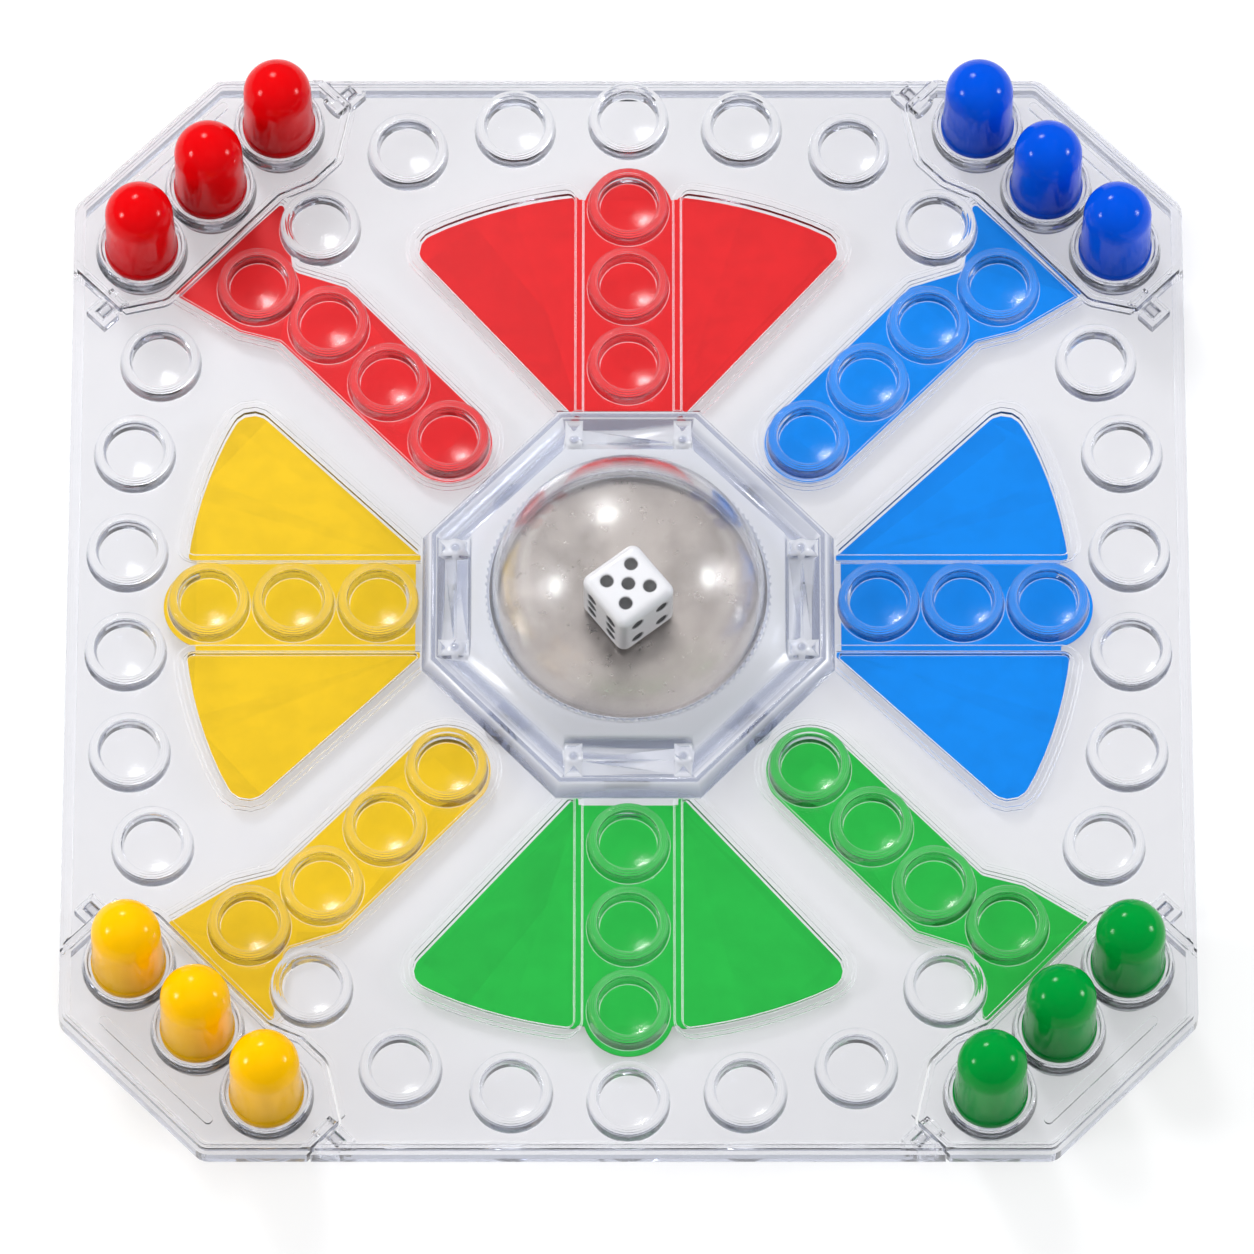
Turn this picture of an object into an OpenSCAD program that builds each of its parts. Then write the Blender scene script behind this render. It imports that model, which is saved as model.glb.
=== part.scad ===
// Pop up dice board game: a clear board with hinged home corners, twelve pegs
// and a press dome over a sprung steel disc that throws the die.
// Millimetres. X runs right, Y runs back, Z runs up, and the board stands on Z = 0.

/* [Board] */
// Width of the board, left to right
board_w = 260; // [250:1:280]
// Depth of the board, front to back
board_d = 272; // [262:1:290]
// Leg of each cut corner, along the board's sides
corner_cut = 33; // [30:1:36]
// Height of the rim above the table
rim_h = 7; // [6.6:0.2:9]
// Thickness of the rim's wall at its foot
rim_t = 2.6; // [2:0.1:3.2]
// Thickness of the top plate
plate_t = 2; // [1.6:0.1:2.4]

/* [Sockets] */
// Outer diameter of a track socket's ring
ring_d = 19.2; // [18:0.1:19.8]
// Height of a ring above the plate
ring_h = 4; // [3:0.1:4.5]
// Diameter of a socket's mouth
socket_d = 13.4; // [13:0.1:14]
// Outer diameter of a home socket's ring
home_ring_d = 21.6; // [20.6:0.1:21.8]

/* [Pegs] */
// Height of a peg above the plate
peg_h = 27.5; // [22:0.5:32]
// Diameter of a peg's round head
peg_head_d = 15.9; // [14:0.1:16.2]
// Diameter of a peg's foot band
peg_foot_d = 17.2; // [16.4:0.1:17.4]
// Diameter of a peg's spigot
peg_spigot_d = 12.4; // [11:0.1:12.6]

/* [Dice popper] */
// Outer radius of the dome
dome_r = 31.6; // [29:0.2:32]
// Wall thickness of the dome
dome_t = 1.2; // [1:0.1:1.8]
// How far the dome presses down
press = 3.4; // [2:0.1:3.4]
// Edge of the die
die_a = 16; // [12:0.5:17]
// Turn of the die on the disc, degrees
die_turn = 38; // [0:1:89]

/* [Hidden] */
$fn = 48;

// the plate
half_w = board_w / 2;
half_d = board_d / 2;
plate_top = rim_h - 1;
plate_low = plate_top - plate_t;
ring_top = plate_top + ring_h;
skin = 0.8; // depth of a film window in the plate's top
film_t = 0.4;
overlap = 0.5; // how far a joined solid reaches into its neighbour
rim_round = 4;
rim_step = 0.9; // foot ledge outside the wall
rim_bevel = 0.6;

// the hinged corners, in a frame whose u runs out along the diagonal and v along the cut corner
hinge_u = -47.7; // hinge line, from the corner where the board's sides would meet
hinge_z = 3.5;
hinge_v = 37.6; // half length of a flap along its hinge line
flap_v0 = 2.7; // middle of that length
tongue = [[-58.6, 28], [-58.6, 20], [-55.6, 12], [-56.6, -25.6]]; // bends of a flap's inner edge
tongue_round = 4;
flap_gap = 0.6;
flap_out = 20;
flap_wall = 1.6;
boss_r = 2.9;
boss_l = 3;
pin_r = 1.3;
pin_bore_r = 1.5;
pin_l = 3.8;
knuckle_w = 6;
knuckle_wall = 0.9;
peg_u = -43.5; // line of the three pegs
peg_v0 = 1.7;
peg_pitch = 22.5;
seam_w = 1.1; // raised seams along both sides of the gap
seam_h = 1.1;
lip_h = 0.9; // height of the frames around the film windows
lip_step = 0.45;
frame_w = 3; // width of a frame at its foot
frame_in = 0.9; // its upper step, from the window's edge
frame_out = 2.2;
grip_u = -30; // straight rib along the cut corner
grip_v0 = 1.9;
grip_l = 34;
grip_w = 2.2;

// the home sockets and pegs
home_seat_z = ring_top - 3; // floor of the counterbore that a peg's foot stands on
home_bore_z = 2.9;
home_boss_d = 19;
home_boss_z = 1.4;
seat_gap = 0.3;
peg_foot_z = home_seat_z + seat_gap;
peg_top_z = plate_top + peg_h;
peg_band_h = 2.5;

// the socket places in the back right quarter, as insets from the corner where the board's sides
// would meet; the other three quarters mirror them
track_in = [[103.4, 14.1], [78.2, 20], [57.8, 39.8], [21, 74.8], [15.3, 98.2], [14, 123.5]];
start_in = [43.4, 55.2];
lane_out_in = [60, 65];
lane_first = [41.7, 41.5]; // the lane socket beside the popper, from the board's middle
lane_out = [half_w - lane_out_in[0], half_d - lane_out_in[1]];
track_end_in = 12;
column_in = 34.4;
column_first = 60.5;
row_in = 33;
row_first = 57.8;
column_ns = [column_first, (column_first + half_d - column_in) / 2, half_d - column_in];
row_ew = [row_first, (row_first + half_w - row_in) / 2, half_w - row_in];
dish_r = 24;

// the wedge windows, back and front, then left and right
wedge_reach_in = [29.5, 27];
wedge_corner = [51.8, 52.9];
wedge_corner_in = [43.8, 40.8];
wedge_foot = [[14.6, 50], [14.2, 49.2]];
divider = 12.5; // inner edge of a side window, from the wedge's middle line
divider_w = 2.1;
wedge_round = 5;
film_shoulder = 3; // how far the strip runs past its last socket, which the film goes round by its margin
film_margin = 0.9;
small_round = 0.8;
wedge_ns = [half_d - wedge_reach_in[0], wedge_corner[0], half_d - wedge_corner_in[0], wedge_foot[0]];
wedge_ew = [half_w - wedge_reach_in[1], wedge_corner[1], half_w - wedge_corner_in[1], wedge_foot[1]];

// the lane windows
lane_half_w = 10.4;
lane_run = 5; // straight strip past the outer lane socket
lane_turn = atan2(lane_out[1] - lane_first[1], lane_out[0] - lane_first[0]);
lane_bend = 2.5;
lane_clear = 1.4; // from the flap's gap to the film
lane_edge = half_w + half_d + (tongue[2][0] - flap_gap) * sqrt(2) - lane_clear; // x + y along that edge
lane_tip_in = [39.5, 66, 24.4, 49, 51.5, 50];

// the popper
bezel_w = 47.7; // half width over the flats
bezel_d = 48.8;
bezel_flat = 16.7; // half length of a flat
bezel_rail_z = plate_top + 4.6;
bezel_top_z = plate_top + 7.6;
bezel_lean = 1.8; // how far the outer wall leans in
rail_w = 1.4;
channel_w = 42.4; // half width over the channel's outer edge
channel_z = plate_top + 1.8;
bezel_in_flat = 14.8;
bezel_in_lean = 1.2;
rib_from = 10.6; // ribs between the channel's cells, from the middle of a flat
rib_w = 4;
rib_z = plate_top + 3.9;
bead_w = 1.1;
bead_h = 0.4;
clip_half = 5;
clip_t = 1.8;
clip_hook = 1;
slot_gap = 0.3;
disc_top = plate_top + 4;
disc_t = 0.5;
flange_r = dome_r + 1.7;
disc_r = flange_r - 0.8;
flange_t = 1.7;
lip_z = disc_top + flange_t + seat_gap; // underside of the bezel's lip over the dome's flange
dome_z = bezel_top_z - 0.2; // centre of the dome's sphere
chamber_r = flange_r + 0.7;
bezel_in = chamber_r + 2;
lip_r = dome_r + 0.5;
cup_r = chamber_r + 2.3;
cup_wall = 1.6;
screw_at = cup_r + 4.7;
clip_r = screw_at;
spring_r = cup_r - 7.3;
spring_in_r = 12;
spring_t = 0.5;
anvil_r = 5;
cup_low = 0.4;
cup_floor = 1.4;
cup_top = cup_low + cup_floor;
ear_t = 2;
ear_r = 4.2;
screw_r = 1.1;
screw_head_r = 2.4;
screw_boss_r = 2.9;
screw_head_t = 0.9;
spring_top = disc_top - disc_t - seat_gap;
anvil_top = disc_top - disc_t - press - seat_gap;

// the die
die_at = [0, -3.6, disc_top];
die_round = 0.13 * die_a;
die_round_r = 0.76 * die_a;
pip_r = 0.098 * die_a;
pip_depth = 0.5;
pip_step = 0.27 * die_a;

// corner signs: red back left, blue back right, yellow front left, green front right
red = [-1, 1];
blue = [1, 1];
yellow = [-1, -1];
green = [1, -1];
corners = [red, blue, yellow, green];

// ---------- outlines ----------

// arc of radius r that touches both sides of corner b, in n steps
function unit(v) = v / norm(v);
function turn(a, b) = a[0] * b[1] - a[1] * b[0];
function round_corner(a, b, c, r, n) =
    let (p = unit(a - b), q = unit(c - b))
    let (half = acos(max(-1, min(1, p * q))) / 2)
    let (t = r / tan(half), m = b + unit(p + q) * r / sin(half))
    let (from = b + p * t - m, to = b + q * t - m)
    [for (i = [0 : n]) m + unit(from * (n - i) + to * i) * r];

// polygon whose sides are moved out by g
function grown(pts, g) =
    let (n = len(pts))
    [for (i = [0 : n - 1])
        let (a = unit(pts[i] - pts[(i + n - 1) % n]), b = unit(pts[(i + 1) % n] - pts[i]))
        let (p = [a[1], -a[0]], q = [b[1], -b[0]])
        pts[i] + g * (p + q) / (1 + p * q)];

// polygon grown by g, with corner i rounded to r[i]: outer corners gain g and inner ones lose it
function outline(pts, r, g = 0, n = 5) =
    let (p = grown(pts, g), c = len(pts))
    [for (i = [0 : c - 1])
        let (a = p[(i + c - 1) % c], b = p[i], d = p[(i + 1) % c])
        each round_corner(a, b, d, max(0.2, r[i] + g * sign(turn(b - a, d - b))), n)];

// board outline, drawn in by d
function board_outline(d) =
    let (w = half_w, h = half_d, c = corner_cut)
    outline([[w, h - c], [w - c, h], [c - w, h], [-w, h - c], [-w, c - h], [c - w, -h], [w - c, -h], [w, c - h]],
        [for (i = [0 : 7]) rim_round], -d, 3);

// corner flap outline in its u, v frame, grown by g; it runs out past the board's sides
function flap_outline(g) =
    let (low = flap_v0 - hinge_v, high = flap_v0 + hinge_v, end = hinge_u - boss_r - 0.1)
    outline(concat([[flap_out, low], [flap_out, high], [end, high]], tongue, [[end, low]]),
        [for (i = [0 : 7]) i > 2 && i < 7 ? tongue_round : small_round], g);

// octagon with half sizes w and h and flats of half length f
function octagon(w, h, f) =
    [[w, f], [f, h], [-f, h], [-w, f], [-w, -f], [-f, -h], [f, -h], [w, -f]];

// side window of a wedge whose middle line is +Y: its slanted side and its arc about the board's centre
// grow by g, and its side at the divider by d
function wedge_side(s, g = 0, d = 0) =
    let (along = unit([s[1], s[2]] - s[3]), foot = s[3] + [along[1], -along[0]] * g)
    let (reach = s[0] + g, x0 = divider - d, low = foot + along * (x0 - foot[0]) / along[0])
    let (b = low * along, tip = low + along * (sqrt(b * b - low * low + reach * reach) - b))
    let (from = atan2(tip[0], tip[1]), to = asin(x0 / reach))
    outline(
        concat([low, tip], [for (i = [2 : 8]) reach * [sin(from + (to - from) * i / 8), cos(from + (to - from) * i / 8)]]),
        [for (i = [0 : 8]) i == 0 ? small_round : (i == 8 ? 2 * small_round : wedge_round) + g]);

// lane film outline, grown by g: a strip with a round inner end and the start's three cornered tip
lane_tip = [
    [half_w - lane_tip_in[0], half_d - lane_tip_in[1]],
    [half_w - lane_tip_in[2], lane_edge - half_w + lane_tip_in[2]],
    [half_w - lane_tip_in[3], lane_edge - half_w + lane_tip_in[3]],
    [half_w - lane_tip_in[4], half_d - lane_tip_in[5]]
];
function lane_outline(g) =
    let (along = [cos(lane_turn), sin(lane_turn)], b = lane_out + lane_run * along)
    outline(
        concat(
            [for (t = [105 : 30 : 255]) lane_first + lane_half_w * [cos(t + lane_turn), sin(t + lane_turn)]],
            [b + lane_half_w * [along[1], -along[0]]],
            lane_tip,
            [b + lane_half_w * [-along[1], along[0]]]
        ),
        [for (i = [0 : 11]) i < 6 ? 2 * tongue_round : i == 8 || i == 9 ? small_round : lane_bend], g, 4);

// rise of a bowl of radius dish_r at a distance from its middle
function bowl(d) = dish_r - sqrt(dish_r * dish_r - d * d);

// ---------- helpers ----------

module slab(low, high) {
    translate([0, 0, low]) linear_extrude(high - low) children();
}

// stands what follows in a corner's u, v frame, mirrored from the back right one
module at_corner(s) {
    scale([s[0], s[1], 1]) translate([half_w, half_d, 0]) rotate(45) children();
}

// one lying round bar along v, from v = a to v = b
module bar_v(r, a, b) {
    translate([hinge_u, a, hinge_z]) rotate([-90, 0, 0]) cylinder(r = r, h = b - a);
}

// both ends of the hinge line, with v measured from its middle
module both_ends() {
    translate([0, flap_v0, 0]) {
        children();
        mirror([0, 1, 0]) children();
    }
}

// every place of the clear track, the coloured starts, lanes, columns and rows
module at_track() {
    for (s = corners, p = track_in) translate([s[0] * (half_w - p[0]), s[1] * (half_d - p[1]), 0]) children();
    for (s = [-1, 1]) translate([0, s * (half_d - track_end_in), 0]) children();
}

module at_lanes() {
    start = [half_w - start_in[0], half_d - start_in[1]];
    for (s = corners, p = [start, lane_out, (lane_out + lane_first) / 2, lane_first])
        translate([s[0] * p[0], s[1] * p[1], 0]) children();
}

module at_wedges() {
    for (s = [-1, 1], y = column_ns) translate([0, s * y, 0]) children();
    for (s = [-1, 1], x = row_ew) translate([s * x, 0, 0]) children();
}

// socket ring: drafted outside, rounded land and a wide chamfer down to the mouth
module ring() {
    r = ring_d / 2;
    m = socket_d / 2;
    rotate_extrude()
        polygon([
            [m, plate_top - overlap], [r, plate_top - overlap], [r, plate_top + 0.5], [r - 0.3, ring_top - 1.2],
            [r - 0.5, ring_top - 0.6], [r - 0.9, ring_top - 0.2], [r - 1.4, ring_top], [r - 1.9, ring_top],
            [r - 2.3, ring_top - 0.2], [m + 0.25, ring_top - 1.3], [m, ring_top - 1.9]
        ]);
}

// shallow dish that a peg's spigot stands over
module dish() {
    m = socket_d / 2 - 0.3;
    sink = bowl(m);
    rotate_extrude()
        polygon(concat(
            [[0, plate_top - sink]],
            [for (i = [1 : 5]) [m * i / 5, plate_top - (i > 1 ? sink - bowl(m * i / 5) : sink)]],
            [[m, plate_top + 1], [0, plate_top + 1]]
        ));
}

module home_ring() {
    r = home_ring_d / 2;
    m = peg_foot_d / 2 + 0.6;
    rotate_extrude()
        polygon([
            [m, plate_low], [r, plate_low], [r, plate_top + 0.6], [r - 0.4, ring_top - 0.6], [r - 0.8, ring_top],
            [m + 0.4, ring_top], [m, ring_top - 0.5]
        ]);
}

// wall of the whole board: a foot ledge, the wall stepped in above it and a narrower top
module rim_wall() {
    difference() {
        union() {
            slab(0, plate_low + rim_step / 2) polygon(board_outline(0));
            slab(0, rim_h - rim_bevel) polygon(board_outline(rim_step));
        }
        slab(-1, rim_h) polygon(board_outline(rim_t));
    }
    difference() {
        slab(plate_low, rim_h) polygon(board_outline(rim_step + rim_bevel));
        slab(plate_low - 1, rim_h + 1) polygon(board_outline(rim_t - overlap));
    }
}

module plate() {
    slab(plate_low, plate_top) polygon(board_outline(rim_t - overlap));
}

// raised seam along the flap's inner edge, between the outlines grown by from and to
module seam(from, to) {
    intersection() {
        slab(plate_top - overlap, plate_top + seam_h) difference() {
            polygon(flap_outline(to));
            polygon(flap_outline(from));
        }
        slab(0, rim_h + seam_h) translate([2 * hinge_u, flap_v0 - hinge_v]) square([boss_r - hinge_u, 2 * hinge_v]);
    }
}

// ---------- the board ----------

// frame around each side window, in two steps
module wedge_frames(s) {
    for (x = [-1, 1]) scale([x, 1, 1]) {
        slab(plate_top - overlap, plate_top + lip_step) polygon(wedge_side(s, frame_w, divider_w));
        slab(plate_top, plate_top + lip_h) polygon(wedge_side(s, frame_out, divider_w - 0.3));
    }
}

module wedge_frame_bores(s) {
    for (x = [-1, 1]) scale([x, 1, 1]) {
        slab(plate_top + lip_step, rim_h + 1) polygon(wedge_side(s, frame_in, 0.3));
        slab(plate_top - skin, rim_h + 1) polygon(wedge_side(s));
    }
}

// frame around a lane film, in two steps
module lane_frames() {
    for (s = corners) scale([s[0], s[1], 1]) difference() {
        union() {
            slab(plate_top - overlap, plate_top + lip_step) polygon(lane_outline(frame_w - 0.5));
            slab(plate_top, plate_top + lip_h) polygon(lane_outline(frame_out - 0.5));
        }
        slab(0, rim_h + 1) polygon(lane_outline(0));
        slab(plate_top + lip_step, rim_h + 1) polygon(lane_outline(frame_in - 0.2));
    }
}

module bearing_blocks() {
    intersection() {
        for (s = corners) at_corner(s) both_ends()
            translate([hinge_u - knuckle_w / 2, hinge_v + flap_gap, knuckle_wall])
                cube([knuckle_w, pin_l + knuckle_wall, rim_h - 2 * knuckle_wall]);
        slab(0, rim_h) polygon(board_outline(1.2));
    }
}

// bore for a flap's pin, open below by a narrower mouth that the pin snaps through
module bearing_bores() {
    for (s = corners) at_corner(s) both_ends() {
        bar_v(pin_bore_r, hinge_v - 1, hinge_v + pin_l + seat_gap);
        translate([hinge_u - pin_r + 0.2, hinge_v - 1, -1])
            cube([2 * pin_r - 0.4, pin_l + 1 + seat_gap, hinge_z + 1]);
    }
}

module game_board() {
    color([0.93, 0.94, 0.96, 0.35]) difference() {
        union() {
            difference() {
                union() {
                    rim_wall();
                    plate();
                    lane_frames();
                    for (a = [0, 180]) rotate(a) wedge_frames(wedge_ns);
                    for (a = [90, 270]) rotate(a) wedge_frames(wedge_ew);
                    for (s = corners) at_corner(s) seam(0, flap_gap + seam_w);
                }
                for (a = [0, 180]) rotate(a) wedge_frame_bores(wedge_ns);
                for (a = [90, 270]) rotate(a) wedge_frame_bores(wedge_ew);
                for (s = corners) at_corner(s) slab(-1, rim_h + 1) polygon(flap_outline(flap_gap));
                slab(plate_top, rim_h + 1) polygon(octagon(bezel_w + seat_gap, bezel_d + seat_gap, bezel_flat));
            }
            bearing_blocks();
            at_track() ring();
            at_lanes() ring();
            at_wedges() ring();
            for (a = [45 : 90 : 315]) rotate(a) translate([screw_at, 0, cup_low + ear_t])
                cylinder(r = screw_boss_r, h = plate_low - cup_low - ear_t + overlap);
        }
        bearing_bores();
        at_track() dish();
        at_lanes() dish();
        at_wedges() dish();
        translate([0, 0, -1]) cylinder(r = chamber_r, h = rim_h + 3, $fn = 96);
        for (a = [0 : 90 : 270]) rotate(a)
            translate([clip_r - clip_hook - slot_gap, -clip_half - slot_gap, 0])
                cube([clip_hook + clip_t + 2 * slot_gap, 2 * (clip_half + slot_gap), rim_h + 1]);
        for (a = [45 : 90 : 315]) rotate(a) translate([screw_at, 0, 0])
            cylinder(r = screw_r + 0.05, h = plate_top - 0.6);
    }
}

// ---------- the hinged corners ----------

module peg_places() {
    for (i = [-1 : 1]) translate([peg_u, peg_v0 + i * peg_pitch, 0]) children();
}

module flap_body() {
    intersection() {
        union() {
            rim_wall();
            plate();
            at_corner(blue) seam(-seam_w, 1);
            // the two end walls
            intersection() {
                at_corner(blue) both_ends()
                    translate([hinge_u, hinge_v - flap_wall, overlap]) cube([-hinge_u, flap_wall, rim_h - overlap]);
                slab(0, rim_h) polygon(board_outline(rim_step));
            }
        }
        at_corner(blue) slab(-1, rim_h + 1) polygon(flap_outline(0));
    }
    at_corner(blue) {
        // hinge bosses and pins
        both_ends() bar_v(boss_r, hinge_v - boss_l, hinge_v);
        both_ends() bar_v(pin_r, hinge_v - 1, hinge_v + pin_l);
        // straight rib with round ends
        slab(plate_top - overlap, rim_h) {
            translate([grip_u - grip_w / 2, grip_v0 - grip_l / 2]) square([grip_w, grip_l]);
            for (v = [-1, 1]) translate([grip_u, grip_v0 + v * grip_l / 2]) circle(d = grip_w);
        }
        peg_places() {
            home_ring();
            translate([0, 0, home_boss_z]) cylinder(d = home_boss_d, h = home_seat_z - home_boss_z);
        }
    }
}

module corner_flap(s) {
    color([0.93, 0.94, 0.96, 0.35]) scale([s[0], s[1], 1]) difference() {
        flap_body();
        at_corner(blue) peg_places() {
            translate([0, 0, home_bore_z]) cylinder(r = socket_d / 2, h = rim_h);
            translate([0, 0, home_seat_z]) cylinder(r = peg_foot_d / 2 + 0.6, h = rim_h);
        }
    }
}

// domed peg: spigot, foot band, slightly tapered body and a round head, hollow from below
module peg(s, i) {
    head = peg_head_d / 2;
    foot = peg_foot_d / 2;
    head_z = peg_top_z - head;
    scale([s[0], s[1], 1]) at_corner(blue) translate([peg_u, peg_v0 + i * peg_pitch, 0]) difference() {
        union() {
            rotate_extrude() polygon([
                [0, home_bore_z + seat_gap], [peg_spigot_d / 2 - 0.5, home_bore_z + seat_gap],
                [peg_spigot_d / 2, home_bore_z + seat_gap + 0.8], [peg_spigot_d / 2, peg_foot_z],
                [foot - 0.3, peg_foot_z], [foot, peg_foot_z + 0.4], [foot, peg_foot_z + peg_band_h - 0.4],
                [foot - 0.4, peg_foot_z + peg_band_h], [head + 0.3, peg_foot_z + peg_band_h + 0.2],
                [head, head_z], [0, head_z]
            ]);
            translate([0, 0, head_z]) sphere(r = head);
        }
        translate([0, 0, home_bore_z - 1]) cylinder(r = peg_spigot_d / 2 - 2, h = head_z - home_bore_z);
    }
}

// ---------- the coloured films ----------

module wedge_film(a, s) {
    last = a % 180 == 0 ? column_ns[2] : row_ew[2];
    rotate(a) {
        for (x = [-1, 1]) scale([x, 1, 1])
            slab(plate_low - film_t, plate_low) polygon(wedge_side(s, -seat_gap, divider_w / 2));
        slab(plate_low - film_t, plate_low) {
            translate([-divider, s[3][1]]) square([2 * divider, last + film_shoulder - s[3][1]]);
            translate([0, last]) circle(r = ring_d / 2 + film_margin);
        }
    }
}

module lane_film(s) {
    slab(plate_low - film_t, plate_low) scale([s[0], s[1], 1]) polygon(lane_outline(0));
}

// ---------- the popper ----------

// one ring of the bezel between two heights, straight or leaning
module frustum(w0, d0, f0, z0, w1, d1, f1, z1) {
    hull() {
        translate([0, 0, z0]) linear_extrude(0.01) polygon(octagon(w0, d0, f0));
        translate([0, 0, z1 - 0.01]) linear_extrude(0.01) polygon(octagon(w1, d1, f1));
    }
}

module popper_bezel() {
    color([0.72, 0.76, 0.86, 0.45]) difference() {
        union() {
            difference() {
                frustum(bezel_w, bezel_d, bezel_flat, plate_top,
                        bezel_w - bezel_lean, bezel_d - bezel_lean, bezel_flat - 0.7, bezel_rail_z);
                frustum(channel_w, channel_w + bezel_d - bezel_w, bezel_flat - 1.9, channel_z,
                        bezel_w - bezel_lean - rail_w, bezel_d - bezel_lean - rail_w, bezel_flat - 1.2, bezel_rail_z + 0.1);
            }
            frustum(bezel_in + bezel_in_lean, bezel_in + bezel_in_lean, bezel_in_flat + bezel_in_lean / 2, channel_z - overlap,
                    bezel_in, bezel_in, bezel_in_flat, bezel_top_z);
            for (a = [0 : 90 : 270], v = [-1, 1]) rotate(a) scale([1, v, 1]) rib();
            for (a = [0 : 90 : 270]) rotate(a) clip();
            translate([0, 0, bezel_top_z - overlap]) cylinder(r = lip_r + bead_w, h = bead_h + overlap, $fn = 96);
        }
        translate([0, 0, plate_top - 1]) cylinder(r = chamber_r, h = lip_z - plate_top + 1, $fn = 96);
        translate([0, 0, plate_top]) cylinder(r = lip_r, h = bezel_top_z, $fn = 96);
    }
}

// rib across the channel, with a round end that stands a little higher
module rib() {
    long = bezel_w - bezel_lean - bezel_in - overlap;
    translate([bezel_in, rib_from, channel_z - overlap]) cube([long, rib_w, rib_z - channel_z + overlap]);
    translate([bezel_in + rib_w, rib_from + rib_w / 2, channel_z - overlap])
        cylinder(r = rib_w / 2 + 0.2, h = rib_z - channel_z + overlap + bead_h, $fn = 32);
}

// spring clip that goes down through its slot in the plate and hooks under it
module clip() {
    low = plate_low - 0.9;
    translate([clip_r, -clip_half, low]) cube([clip_t, 2 * clip_half, channel_z - low - overlap]);
    translate([clip_r + clip_t, clip_half, plate_low - seat_gap]) rotate([90, 0, 0])
        linear_extrude(2 * clip_half) polygon([[-overlap, 0], [clip_hook, 0], [0.2, -1], [-overlap, -1]]);
}

module dome() {
    color([0.95, 0.96, 0.97, 0.3]) rotate_extrude($fn = 96) difference() {
        union() {
            translate([0, disc_top]) square([flange_r, flange_t]);
            translate([0, disc_top]) square([dome_r, dome_z - disc_top]);
            intersection() {
                translate([0, dome_z]) circle(r = dome_r, $fn = 96);
                translate([0, dome_z]) square([dome_r, dome_r]);
            }
        }
        translate([-1, disc_top - 1]) square([dome_r - dome_t + 1, dome_z - disc_top + 1]);
        translate([0, dome_z]) circle(r = dome_r - dome_t, $fn = 96);
    }
}

module striker_disc() {
    color([0.62, 0.61, 0.6]) translate([0, 0, disc_top - disc_t]) cylinder(r = disc_r, h = disc_t, $fn = 96);
}

// slotted steel cone spring: its outer edge stands in the cup, its fingers lift the disc
module leaf_spring() {
    fingers = 8;
    color([0.6, 0.61, 0.63]) difference() {
        rotate_extrude($fn = 96) polygon([
            [spring_r, cup_top], [spring_r, cup_top + spring_t], [spring_r - 4, cup_top + spring_t + 0.3],
            [spring_in_r + 2, spring_top], [spring_in_r, spring_top], [spring_in_r, spring_top - spring_t],
            [spring_in_r + 1.8, spring_top - spring_t], [spring_r - 4.2, cup_top]
        ]);
        for (i = [0 : fingers - 1]) rotate(i * 360 / fingers) translate([spring_in_r - 2, -1.2, cup_low])
            cube([spring_r - spring_in_r - 3, 2.4, spring_top]);
    }
}

// cup under the board: floor, wall up to the plate, anvil and four ears
module popper_cup() {
    color([0.74, 0.76, 0.82, 0.6]) difference() {
        union() {
            difference() {
                union() {
                    translate([0, 0, cup_low]) cylinder(r = cup_r, h = plate_low - cup_low, $fn = 96);
                    for (a = [45 : 90 : 315]) rotate(a) {
                        translate([screw_at, 0, cup_low]) cylinder(r = ear_r, h = ear_t);
                        translate([cup_r - 3, -ear_r, cup_low]) cube([screw_at - cup_r + 3, 2 * ear_r, ear_t]);
                    }
                }
                translate([0, 0, cup_top]) cylinder(r = cup_r - cup_wall, h = plate_top, $fn = 96);
            }
            translate([0, 0, cup_low]) cylinder(r = anvil_r, h = anvil_top - cup_low);
            for (a = [22.5 : 45 : 360]) rotate(a)
                translate([anvil_r - overlap, -0.6, cup_low]) cube([5, 1.2, cup_floor + 1.2]);
        }
        for (a = [45 : 90 : 315]) rotate(a) translate([screw_at, 0, 0]) {
            cylinder(r = screw_r + 0.2, h = plate_top);
            cylinder(r = screw_head_r + 0.2, h = cup_low + screw_head_t + 0.1);
        }
    }
}

module cup_screws() {
    head_z = cup_low + 0.1;
    color([0.7, 0.7, 0.72]) for (a = [45 : 90 : 315]) rotate(a) translate([screw_at, 0, head_z])
        difference() {
            union() {
                cylinder(r = screw_head_r, h = screw_head_t);
                cylinder(r = screw_r, h = plate_top - 1 - head_z);
            }
            for (t = [0, 90]) rotate(t) translate([-1.5, -0.3, -1]) cube([3, 0.6, 1.4]);
        }
}

// ---------- the die ----------

// places of n pips on a face, in steps of pip_step
function pip_places(n) =
    let (two = [[-1, -1], [1, 1]], other = [[-1, 1], [1, -1]], side = [[-1, 0], [1, 0]])
    n == 1 ? [[0, 0]] :
    n == 2 ? two :
    n == 3 ? concat(two, [[0, 0]]) :
    n == 4 ? concat(two, other) :
    n == 5 ? concat(two, other, [[0, 0]]) : concat(two, other, side);

// puts what follows on the face with n pips: five is on top, six left and four right of the near edge
module on_face(n) {
    turn = n == 5 ? [0, 0, 0] : n == 2 ? [180, 0, 0] : n == 6 ? [90, 0, -90] : n == 1 ? [90, 0, 90] :
        n == 4 ? [90, 0, 0] : [90, 0, 180];
    translate(die_at) rotate(die_turn) translate([0, 0, die_a / 2]) rotate(turn)
        translate([0, 0, die_a / 2]) children();
}

module pips(r, low, high) {
    for (n = [1 : 6]) on_face(n) for (p = pip_places(n))
        translate([p[0] * pip_step, p[1] * pip_step, low]) cylinder(r = r, h = high - low, $fn = 24);
}

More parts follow.
